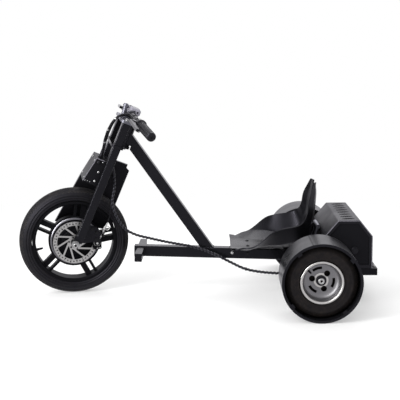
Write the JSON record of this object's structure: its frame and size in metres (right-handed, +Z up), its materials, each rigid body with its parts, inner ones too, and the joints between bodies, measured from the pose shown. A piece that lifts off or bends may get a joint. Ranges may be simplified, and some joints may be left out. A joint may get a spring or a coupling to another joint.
{
  "type": "electric drift trike",
  "caption": "Low three-wheeled drift trike with a hub-motor front wheel, raked square-tube fork, bucket seat, rear battery box and sleeved kart wheels that slide.",
  "frame": {"origin": "on the floor under the middle of the trike's overall length and width", "axes": "+X to the rear, +Y to the rider's right, +Z up; the trike faces -X"},
  "size_m": [1.3144, 0.852, 0.7187],
  "materials": {
    "tyre": "black rubber with a fine tread",
    "cast_rim": "satin black cast alloy",
    "motor": "satin black cast drum",
    "rotor": "ground steel",
    "axle": "turned steel",
    "frame": "satin black powder coat",
    "yoke": "machined alloy",
    "bar": "gloss black",
    "grip": "black rubber",
    "controls": "black coated alloy",
    "display": "grey moulded plastic",
    "housing": "dark grey folded sheet",
    "seat": "black moulded plastic",
    "box": "satin black folded sheet",
    "battery": "wrapped battery block",
    "sleeve": "dark grey plastic sleeve",
    "kart_tyre": "dusty black rubber",
    "kart_rim": "polished dished rim",
    "hub": "turned steel hub",
    "harness": "spiral-wrapped cable harness"
  },
  "bodies": {
    "chassis": {"battery_pack": "battery", "box_end_left": "box", "box_end_right": "box", "box_shell": "box", "charge_port": "controls", "cross_beam": "frame", "down_tube": "frame", "foot_peg_left": "frame", "foot_peg_right": "frame", "harness": "harness", "head_tube": "frame", "main_beam": "frame", "rear_axle": "axle", "seat_bracket_front": "frame", "seat_bracket_rear": "frame", "seat_shell": "seat", "seat_strut": "frame", "tray": "frame"},
    "steering": {"bar_riser": "yoke", "brake_cable": "harness", "brake_caliper": "controls", "brake_lever_left": "controls", "brake_lever_right": "controls", "cable_bundle": "harness", "controller_housing": "housing", "display": "display", "dropout_left": "frame", "dropout_right": "frame", "fork_leg_left": "frame", "fork_leg_right": "frame", "front_axle": "axle", "grip_left": "grip", "grip_right": "grip", "handlebar": "bar", "key_post": "yoke", "lower_yoke": "yoke", "side_case": "housing", "steerer": "axle", "upper_yoke": "yoke"},
    "front_wheel": {"brake_rotor": "rotor", "front_rim": "cast_rim", "front_tyre": "tyre", "motor_drum": "motor", "valve_stem": "grip"},
    "rear_wheel_left": {"rear_hub_left": "hub", "rear_rim_left": "kart_rim", "rear_sleeve_left": "sleeve", "rear_tyre_left": "kart_tyre"},
    "rear_wheel_right": {"rear_hub_right": "hub", "rear_rim_right": "kart_rim", "rear_sleeve_right": "sleeve", "rear_tyre_right": "kart_tyre"}
  },
  "joints": [
    {"name": "steering", "type": "hinge", "parent": "chassis", "child": "steering", "pos_m": [-0.42743, 0, 0.19197], "axis": [0.3955, 0, 0.9184], "range_deg": [-58.2, 31.8], "deforming": ["harness"]},
    {"name": "front_wheel_spin", "type": "hinge", "parent": "steering", "child": "front_wheel", "pos_m": [-0.45605, -0.00731, 0.20429], "axis": [-0.2097, 0.9736, 0.0903], "continuous": true},
    {"name": "rear_left_spin", "type": "hinge", "parent": "chassis", "child": "rear_wheel_left", "pos_m": [0.43518, -0.345, 0.1364], "axis": [0, 1, 0], "continuous": true},
    {"name": "rear_right_spin", "type": "hinge", "parent": "chassis", "child": "rear_wheel_right", "pos_m": [0.43518, 0.345, 0.1364], "axis": [0, 1, 0], "continuous": true}
  ]
}
